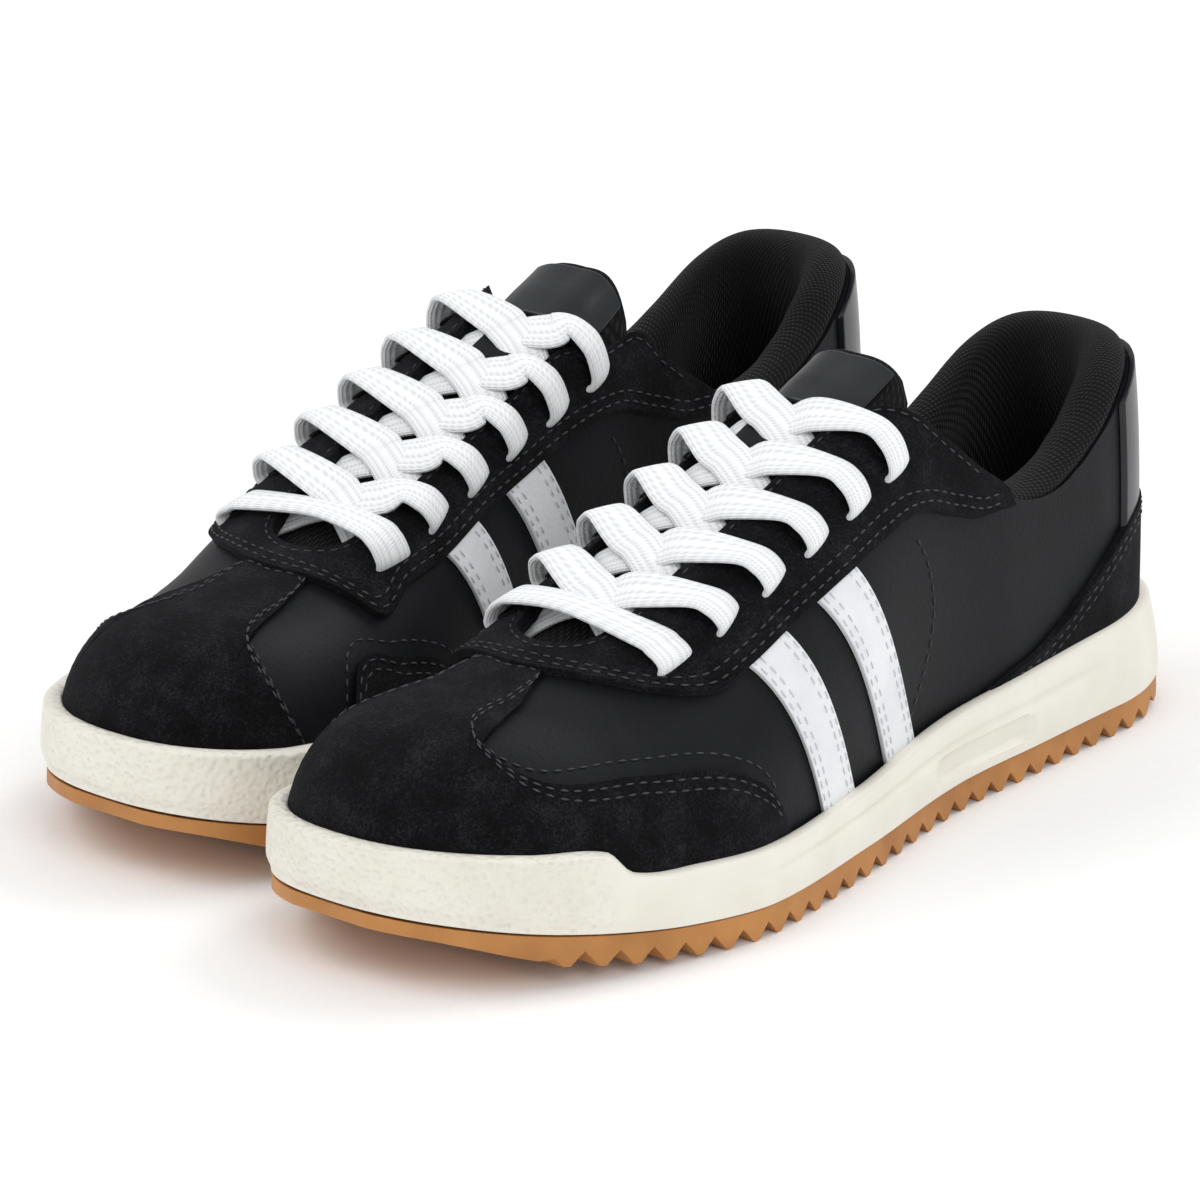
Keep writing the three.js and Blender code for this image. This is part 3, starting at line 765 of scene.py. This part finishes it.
def foxingCourses():
    stations = (84, 77) + tuple(t for t in backStations[::-1] if t < 70)
    low = [lambda k, t=t: soleSpot(t, k) for t in stations]
    high = [lambda k, t=t: sameHeight(t, foxingTop(t), k) for t in stations]
    return course(mirrored(low)), course(mirrored(high))


def tabCourses():
    stations = [t for t in backStations[::-1] if t < 28]
    low = [lambda k, t=t: sameHeight(t, foxingTop(t) - 1.5, k) for t in stations]
    high = [lambda k, t=t: topSpot(t, k, 0.8) for t in stations]
    return course(mirrored(low)), course(mirrored(high))


bars = {"width": 14.5, "foot": 17.5, "head": 62, "headRise": 4, "feet": (162.5, 131.5), "heads": (184.5, 154)}


def barCourses(which, side):
    low, high = [], []
    for share in (0, 0.5, 1):
        back = bars["width"] * share
        rise = bars["headRise"] * (which + share)
        low.append(fromSide(bars["feet"][which] - back, bars["foot"], side))
        high.append(fromSide(bars["heads"][which] - back, bars["head"] + rise, side))
    return course(low), course(high)


def buildToe(thread):
    low, high = toeCourses()
    bm = panel(low, high, layers["overlay"], 220, 14)
    finishPiece("toeSuede", bm, suede, ("toe_overlay",), bevel=0.35)
    for distance in (1.7, 4.2):
        sewSeam(thread, seamPoints(low, high, layers["overlay"][1], distance, True, (0.03, 0.97)))
    for span in ((0.02, 0.33), (0.67, 0.98)):
        sewSeam(thread, seamPoints(low, high, layers["leather"][1], -4.5, True, span, 500))


# The curved row of stitches behind the bars, on each side.
def sewQuarter(thread):
    for side in (1, -1):
        path = course([fromSide(*p, side) for p in ((113, 70), (108, 60), (107, 48), (112, 36), (120, 26))])
        sewSeam(thread, [upperFrame(path(k / 120), layers["leather"][1]) for k in range(121)])


def buildStay(thread):
    low, high = stayCourses()
    bm = panel(low, high, layers["stay"], 240, 10)
    finishPiece("staySuede", bm, suede, ("eyelet_stay",), bevel=0.4)
    for distance in (1.7, 4.0):
        sewSeam(thread, seamPoints(low, high, layers["stay"][1], distance, False, (0.02, 0.98)))
    sewSeam(thread, seamPoints(low, high, layers["stay"][1], 2.0, True, (0.05, 0.95)))


def buildFoxing(thread):
    low, high = foxingCourses()
    bm = panel(low, high, layers["foxing"], 120, 10)
    finishPiece("foxingSuede", bm, suede, ("heel_foxing",), bevel=0.35)
    for distance in (1.7, 4.0):
        sewSeam(thread, seamPoints(low, high, layers["foxing"][1], distance, fromHigh=True, steps=700))


def buildHeelTab():
    low, high = tabCourses()
    bm = panel(low, high, layers["overlay"], 80, 12)
    finishPiece("heelTabLeather", bm, glossLeather, ("heel_tab",), bevel=0.3)


def buildBars(thread):
    for which, name in enumerate(("front", "rear")):
        for side, word in ((1, "lateral"), (-1, "medial")):
            low, high = barCourses(which, side)
            bm = panel(low, high, layers["overlay"], 14, 44)
            node = f"bar_{name}_{word}"
            finishPiece(f"{name}Bar_{word}", bm, whiteLeather, (node,), bevel=0.3)
            for share in (0.1, 0.25, 0.75, 0.9):
                start, end = low(share), high(share)
                row = [start.lerp(end, k / 60) for k in range(61)]
                sewSeam(thread, [upperFrame(point, layers["overlay"][1]) for point in row])


def buildOverlays():
    dark, pale = bmesh.new(), bmesh.new()
    buildToe(dark)
    sewQuarter(dark)
    buildStay(dark)
    buildFoxing(dark)
    buildHeelTab()
    buildBars(pale)
    finishPiece("darkStitches", dark, darkThread, sharp=180)
    finishPiece("paleStitches", pale, paleThread, sharp=180)


collar = {
    "section": [  # how far down from the leather's top edge, and how far in from the leather's inner face
        (7, 0.3), (1.5, 0.1), (-1.2, -0.7), (-3.2, 0.3), (-4.6, 2.8), (-4.9, 5.6),
        (-3.9, 8.4), (-1.4, 10.4), (3, 11.3), (9, 11), (16, 9.6), (24, 7.4),
        (34, 5.4), (46, 4.4), (56, 4.1), (56, 2.6), (34, 2.3), (16, 1.4),
    ],
    "sectionDepth": 56,
    "reach": 101,
    "padDepth": 16,
    "floorGap": 7,
    "topDrop": 0.4,
    "clothThick": 2,
    "endThin": 0.4,  # the pad's share left at its ends, beside the eyelets
    "endSink": 7,
    "endShare": 0.16,
}


def buildCollar():
    around = course([Vector(p) for p in collar["section"]], closed=True)
    pad, cloth, thin = collar["padDepth"], collar["clothThick"], collar["endThin"]

    def shape(u, w):
        s = shareAt(collar["reach"]) * abs(2 * u - 1)
        side = 1 if u < 0.5 else -1
        top = upperPoint(s, side, topDown(s, side, collar["topDrop"]), layers["leather"][1]).z
        fall, deep = around(w % 1.0)
        room = top - foot(station(s)) - collar["floorGap"] - pad
        if fall > pad:
            fall = pad + (fall - pad) / (collar["sectionDepth"] - pad) * room
        taper = thin + (1 - thin) * smoothStep(min(u, 1 - u), 0, collar["endShare"])
        deep = deep if deep < cloth else cloth + (deep - cloth) * taper
        fall = fall if fall > 0 else fall * taper
        base = upperPoint(s, side, downAtHeight(s, top - max(fall, 0), 0), 0)
        inward = (ridgeAt(station(s)) - outline(s, side, 0)).normalized()
        z = top - fall - collar["endSink"] * (1 - taper)
        return Vector((base.x + inward.x * deep, base.y + inward.y * deep, z))

    bm = tubeSolid(180, 64, shape, mapSize=(250, 130))
    for piece in finishPiece("collarMesh", bm, spacer, ("collar_pad", "lining")):
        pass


tongue = {
    "half": 22,
    "front": 205,
    "back": 97,
    "rise": -1.0,
    "edge": -3.6,
    "edgeThick": 0.6,
    "under": -7.5,
    "corner": 9,
}
tongueLabel = {"back": 99.5, "long": 17, "half": 14, "acrossShare": 0.68, "under": 0.2, "over": 1.5}
laceKeeper = {"middle": 131, "long": 9, "half": 8, "arch": 2.6, "thick": 1.1}


def tongueSpan(w):
    t = tongue["front"] + (tongue["back"] - tongue["front"]) * w
    fromEnd = min(1, (t - tongue["back"]) / tongue["corner"])
    return t, tongue["half"] * (0.84 + 0.16 * w) * (0.72 + 0.28 * math.sqrt(max(0, 1 - (1 - fromEnd) ** 2)))


def tongueSpot(t, out):
    return fromAbove(ridgeX(t) + out, t, 0)


def tongueTop(crown):
    return tongue["edge"] + (tongue["rise"] - tongue["edge"]) * crown


def buildTongue():
    def padShape(u, w, layer):
        t, wide = tongueSpan(w)
        across = 2 * u - 1
        crown = (1 - across * across) * min(1, 5 * (1 - w) + 0.45, 5 * w + 0.2)
        under = tongue["edge"] - tongue["edgeThick"] + (tongue["under"] - tongue["edge"]) * crown
        return onUpper(tongueSpot(t, across * wide), under if layer else tongueTop(crown))

    bm = sheetSolid(26, 60, padShape, mapSize=(44, 110))
    for piece in finishPiece("tonguePad", bm, spacer, ("tongue",), bevel=0.5):
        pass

    def labelShape(u, w, layer):
        t = tongueLabel["back"] + tongueLabel["long"] * (1 - w)
        across = 2 * u - 1
        fromBack = (t - tongue["back"]) / (tongue["front"] - tongue["back"])
        crown = (1 - (across * tongueLabel["acrossShare"]) ** 2) * min(1, 5 * fromBack + 0.45)
        lift = tongueLabel["under"] if layer else tongueLabel["over"]
        return onUpper(tongueSpot(t, across * tongueLabel["half"]), tongueTop(crown) + lift)

    bm = sheetSolid(18, 12, labelShape)
    finishPiece("tongueLabel", bm, glossLeather, ("tongue_label",), bevel=0.4)

    def keeperShape(u, w, layer):
        t = laceKeeper["middle"] + laceKeeper["long"] * (w - 0.5)
        across = 2 * u - 1
        arch = laceKeeper["arch"] * (1 - across**4) + (0 if layer else laceKeeper["thick"])
        return onUpper(tongueSpot(t, across * laceKeeper["half"]), tongue["rise"] + arch)

    bm = sheetSolid(16, 6, keeperShape)
    finishPiece("laceKeeper", bm, blackLeather, bevel=0.3)


lace = {
    "rows": 6,
    "first": 194,
    "pitch": 15.2,
    "level": 60.2,
    "levelStep": 5.75,
    "width": 10.6,
    "thick": 2.0,
    "gap": 0.15,
    "lean": 0.5,  # each stretch leans on the next one back
    "ribs": 0.12,
    "reach": 40,  # between the two holes of a crossing, across the shoe
    "barOffset": 4.6,
    "barLift": 1.0,
    "overLift": 1.8,
    "underLift": 0.8,
    "ahead": 9,
    "tuckShare": 0.6,
    # offsets on the way across, by how far out from the ridge on the side where the stretch starts
    "over": [(17.5, -1.0), (12.5, -0.5), (8, 0.8), (4, 2.3), (0, 3.5), (-4, 4.0)],
    "under": [(17.5, -1.0), (12.5, -0.5), (8, 0.4), (4, 1.1), (0, 1.5), (-4, 2.4), (-9, 4.0)],
    # how far from the hole towards the ridge, height over the stay, share of the width, turn outwards
    "dive": [
        (4.5, 0.2, 1.0, 0.0), (0.0, 0.4, 1.0, 0.1), (-3.0, 0.0, 1.0, 0.6),
        (-3.9, -1.6, 1.0, 1.3), (-3.4, -3.3, 0.94, 1.6),
    ],
    # station, height and offset down the inside of the wall, to the tube on the lace's end
    "tuck": [
        (118, 84, 0.5), (118, 79, -2.5), (118.5, 75, -4.4),
        (119.5, 69, -4.85), (122, 62, -4.85), (131, 54, -5.4),
    ],
}


def eyeletStation(row):
    return lace["first"] - lace["pitch"] * row


def eyelet(row, side):
    return fromSide(eyeletStation(row), lace["level"] + lace["levelStep"] * row, side)


# One stretch of lace through stops of (place, way it faces, width), with rounded edges and closed ends.
def ribbon(bm, stops):
    count = 10 * (len(stops) - 1)
    places = course([s[0] for s in stops])
    facing = course([s[1] for s in stops])
    widths = course([Vector((s[2], 0, 0)) for s in stops])
    run = sum((places((i + 1) / count) - places(i / count)).length for i in range(count))

    def shape(u, w):
        way = (places(min(1, u + 0.01)) - places(max(0, u - 0.01))).normalized()
        up = facing(u)
        up = (up - way * up.dot(way)).normalized()
        a = math.cos(w * 2 * math.pi)
        b = math.sin(w * 2 * math.pi)
        wide = widths(u).x / 2 * math.copysign(abs(a) ** 0.75, a)
        thick = lace["thick"] / 2 * math.copysign(abs(b) ** 0.62, b)
        thick *= 1 + lace["ribs"] * math.cos(3 * math.pi * a)
        return places(u) + way.cross(up) * wide + up * thick

    moveInto(bm, tubeSolid(count, 18, shape, mapSize=(run, lace["width"] * 2)))


def ridgeFrame(t, offset):
    return upperFrame(fromAbove(ridgeX(t), t, 0), offset)


# The end of a stretch: over the stay at full width, a short fold, then down into the hole.
def diveStops(row, side, lift=0.0, ahead=0.0):
    hole = eyelet(row, side)
    t = eyeletStation(row)
    flat = ridgeFrame(t, 0)[1]
    comingFrom = fromAbove(ridgeX(t + ahead), t + ahead)
    wide = (onUpper(hole, 3) - onUpper(comingFrom, 3)).length
    out = (onUpper(hole.lerp(comingFrom, -2 / wide), 3) - onUpper(hole, 3)).normalized()
    lying = layers["stay"][1] + lace["thick"] / 2 + lace["gap"]
    stops = []
    for distance, offset, width, tip in lace["dive"]:
        height = lying + offset + (lift if offset > 0 else 0)
        at, normal = upperFrame(hole.lerp(comingFrom, distance / wide), height)
        facing = normal.lerp(flat, 0.3 + 0.2 * lift)
        stops.append((at, (facing * math.cos(tip) + out * math.sin(tip)).normalized(), lace["width"] * width))
    return stops


def crossing(bm, row, side, onTop):
    across = lace["over" if onTop else "under"]
    stops = []
    for out, offset in across:
        t = eyeletStation(row) - lace["pitch"] * (across[0][0] - out) / lace["reach"]
        at, normal = upperFrame(fromAbove(ridgeX(t) + side * out, t, 0), offset)
        stops.append((at, (normal + Vector((0, lace["lean"], 0))).normalized(), lace["width"]))
    lift = lace["overLift"] if onTop else lace["underLift"]
    ribbon(bm, stops + diveStops(row + 1, -side, lift, lace["ahead"]))


def frontBar(bm):
    at, normal = ridgeFrame(lace["first"], lace["barOffset"])
    ribbon(bm, diveStops(0, -1, lace["barLift"])[::-1] + [(at, normal, lace["width"])] + diveStops(0, 1))


def tuckedEnd(bm, side):
    stops = []
    for t, z, offset in lace["tuck"]:
        at, normal = upperFrame(fromSide(t, z, side, offset), offset)
        stops.append((at, -normal, lace["width"] * lace["tuckShare"]))
    ribbon(bm, stops)


# The two shoes are laced alike, as mirror images, except for which side's stretches lie on top.
def buildLaces():
    for shoeSide, overSide in (("left", 1), ("right", -1)):
        bm = bmesh.new()
        frontBar(bm)
        for row in range(lace["rows"] - 1):
            for side in (-overSide, overSide):
                crossing(bm, row, side, side == overSide)
        for side in (1, -1):
            tuckedEnd(bm, side)
        finishPiece("laceWoven", bm, laceCloth, ("lace",), sides=(shoeSide,), sharp=60)


# A punched hole's pressed rim, as radius and height over the stay.
rimProfile = [(0, -0.9), (2.3, -0.9), (2.5, 0.12), (2.9, 0.34), (3.4, 0.22), (3.7, -0.3)]


def rimPart(row, side):
    part = bmesh.new()
    verts = [part.verts.new((r, 0, z)) for r, z in rimProfile]
    edges = [part.edges.new(pair) for pair in zip(verts, verts[1:])]
    turn = {"cent": (0, 0, 0), "axis": (0, 0, 1), "angle": 2 * math.pi}
    bmesh.ops.spin(part, geom=verts + edges, steps=24, use_merge=True, **turn)
    fillEnds(part)
    at, normal = upperFrame(eyelet(row, side), layers["stay"][1])
    facing = normal.to_track_quat("Z", "Y").to_matrix().to_4x4()
    bmesh.ops.transform(part, matrix=Matrix.Translation(at) @ facing, verts=part.verts)
    return part


def buildEyelets():
    bm = bmesh.new()
    for row in range(lace["rows"]):
        for side in (1, -1):
            moveInto(bm, rimPart(row, side))
    finishPiece("eyeletRings", bm, suede)


sole = {
    "tooth": 3.6,
    "gum": 3.6,
    "overlap": 0.2,
    "pitch": 7.8,
    "firstTooth": 20,
    "teeth": 29,
    "toothFlat": 0.1,  # shares of the pitch: half of a tooth's flat tip, then its slope
    "toothSlope": 0.38,
    "smoothGap": 0.7,
    "toeThin": 3.0,
    "toeThinSpan": (240, 268),
    "bottomInset": 0.9,
    "topInset": 1.2,
}


def gumTop(t):
    return groundLift(t) + sole["tooth"] - sole["overlap"] + sole["gum"]


def gumBottom(t):
    tooth = (t - sole["firstTooth"]) / sole["pitch"]
    if tooth < 0 or tooth > sole["teeth"] - 0.15:
        return groundLift(t) + sole["smoothGap"] + sole["toeThin"] * smoothStep(t, *sole["toeThinSpan"])
    share = abs((tooth % 1) - 0.5)
    return groundLift(t) + sole["tooth"] * min(1, max(0, share - sole["toothFlat"]) / sole["toothSlope"])


def buildOutsole():
    heel = sole["firstTooth"] - 1
    stations = [1 + heel * (1 - math.cos(math.pi / 2 * k / 10)) for k in range(10)]
    for i in range(sole["teeth"]):
        stations += [sole["firstTooth"] + sole["pitch"] * (i + k) for k in (0, 0.2, 0.4, 0.6, 0.8)]
    end = stations[-1]
    stations += [end + (length - 1 - end) * math.sin(math.pi / 2 * k / 14) for k in range(1, 15)]

    def shape(u, w, layer):
        t = stations[round(w * (len(stations) - 1))]
        wide = (half(t) - (sole["topInset"] if layer else sole["bottomInset"])) * roundOff(t)
        x = centre(t) + (2 * u - 1) * wide
        return Vector((x, t, gumTop(t) if layer else gumBottom(t)))

    bm = sheetSolid(12, len(stations) - 1, shape)
    finishPiece("gumOutsole", bm, gum, ("outsole",), bevel=0.45, sharp=30)


cup = {
    "wallRows": 26,
    "overGum": 0.15,
    "baseRound": 0.5,
    "lip": 3.6,
    # inset and rise over the wall's top edge, round the lip and down inside it
    "lipSection": [(1.1, 0.0), (2.3, 0.15), (3.5, 0.0), (4.2, -0.7), (4.3, -3.0)],
    "lipRound": 1.1,
    "bedInset": 13,
    "baseInset": 1.2,
    "bumper": 229,
}
groove = {"deep": 0.9, "level": 0.62, "sharpness": 14, "start": (30, 60), "end": (150, 225)}
slot = {"deep": 1.9, "level": 0.36, "middle": 94, "half": 17, "radius": 3.2, "edge": (0.62, 1.0)}


# How far the midsole's wall is pressed in at a place: a long groove, a closed slot and the raised bumper.
def wallRelief(t, z, wallLow, wallHigh):
    share = (z - wallLow) / (wallHigh - wallLow)
    along = smoothStep(t, *groove["start"]) * (1 - smoothStep(t, *groove["end"]))
    pressed = groove["deep"] * math.exp(-(((share - groove["level"]) * groove["sharpness"]) ** 2)) * along
    past = max(0, abs(t - slot["middle"]) - slot["half"]) / slot["radius"]
    above = (z - wallLow - (wallHigh - wallLow) * slot["level"]) / slot["radius"]
    pressed += slot["deep"] * (1 - smoothStep(math.hypot(past, above), *slot["edge"]))
    raised = smoothStep(t, cup["bumper"] - 2, cup["bumper"] + 3) * smoothStep(share, 0.05, 0.3)
    return pressed - 0.9 * raised


def buildMidsole():
    rows, lip = cup["wallRows"], cup["lipSection"]
    count = rows + len(lip) + 3
    skin = layers["overlay"][1]

    def shape(u, w):
        s = 1 - abs(2 * u - 1)
        side = 1 if u <= 0.5 else -1
        edge = outline(s, side, 0)
        t = edge.y
        low, high = gumTop(t) + cup["overGum"], rimLevel(t)
        face = upperPoint(s, side, downAtHeight(s, high, skin), skin)
        lean = max(0, math.hypot(face.x - edge.x, face.y - edge.y) - cup["lip"])
        i = round(w * count) % count
        if i <= rows:
            z = low + cup["baseRound"] + (high - cup["lipRound"] - low) * i / rows
            inset = wallRelief(t, z, low, high) + ((i / rows - 0.55) ** 2) + lean * (i / rows) ** 1.3
        elif i <= rows + len(lip):
            inset, rise = lip[i - rows - 1]
            inset += wallRelief(t, high, low, high) + lean
            z = high + rise
        else:
            inset, z = [(cup["bedInset"], foot(t) - 1), (cup["baseInset"], low)][i - rows - len(lip) - 1]
        at = outline(s, side, inset)
        return Vector((at.x, at.y, z))

    bm = tubeSolid(420, count, shape)
    etched = bm.verts.layers.float.new("pebbled")
    for v in bm.verts:
        v[etched] = smoothStep(v.co.y, cup["bumper"], cup["bumper"] + 6)
    finishPiece("cupMidsole", bm, cupCompound, ("midsole",), sharp=50)


footbed = {"inset": 12.2, "under": 2.4, "top": 6.4, "dish": 2.6, "dishEnd": (150, 215)}


def buildFootbed():
    inset = footbed["inset"]

    def shape(u, w, layer):
        t = inset + (length - 2 * inset) * (1 - math.cos(math.pi * w)) / 2
        s = shareAt((t - inset) * length / (length - 2 * inset))
        across = 2 * u - 1
        x = centre(station(s)) + across * (half(station(s)) - inset) * roundOff(station(s))
        dish = footbed["dish"] * abs(across) ** 3 * (1 - smoothStep(t, *footbed["dishEnd"]))
        return Vector((x, t, foot(t) + (footbed["under"] if layer else footbed["top"] + dish)))

    bm = sheetSolid(20, 60, shape, mapSize=(70, 250))
    finishPiece("footbedMesh", bm, spacer, ("footbed",), bevel=0.5)


print("materials")
suede = blackSuede()
blackLeather = grainLeather("blackLeather", ("#0e0f12", "#14151a"), 0.52, 1.0, 0.15, 0.16)
glossLeather = grainLeather("glossLeather", ("#121317", "#1b1d22"), 0.3, 1.6, 0.08, 0.4)
whiteLeather = grainLeather("whiteLeather", ("#dfe1e5", "#eaecef"), 0.42, 1.0, 0.15, 0.4)
cupCompound = cupRubber()
gum = gumRubber()
spacer = spacerMesh()
laceCloth = wovenLace()
darkThread = sewingThread("darkThread", "#2b2c30")
paleThread = sewingThread("paleThread", "#c9ccd2")
board = fibreBoard()
tube = clearTube()

print("studio")
buildStudio()
print("soles")
buildOutsole()
buildMidsole()
buildFootbed()
print("upper")
buildLeather()
buildOverlays()
print("collar and tongue")
buildCollar()
buildTongue()
print("laces")
buildEyelets()
buildLaces()

# Pieces that keep the frame's own mesh and only get their material.
hidden = {
    "lasting_board": board,
    "heel_counter": board,
    "toe_puff": board,
    "aglet_lateral": tube,
    "aglet_medial": tube,
}
for side in ("left", "right"):
    for node, material in hidden.items():
        piece = bpy.data.objects[f"{side}_{node}"]
        piece.data.materials.clear()
        piece.data.materials.append(material)
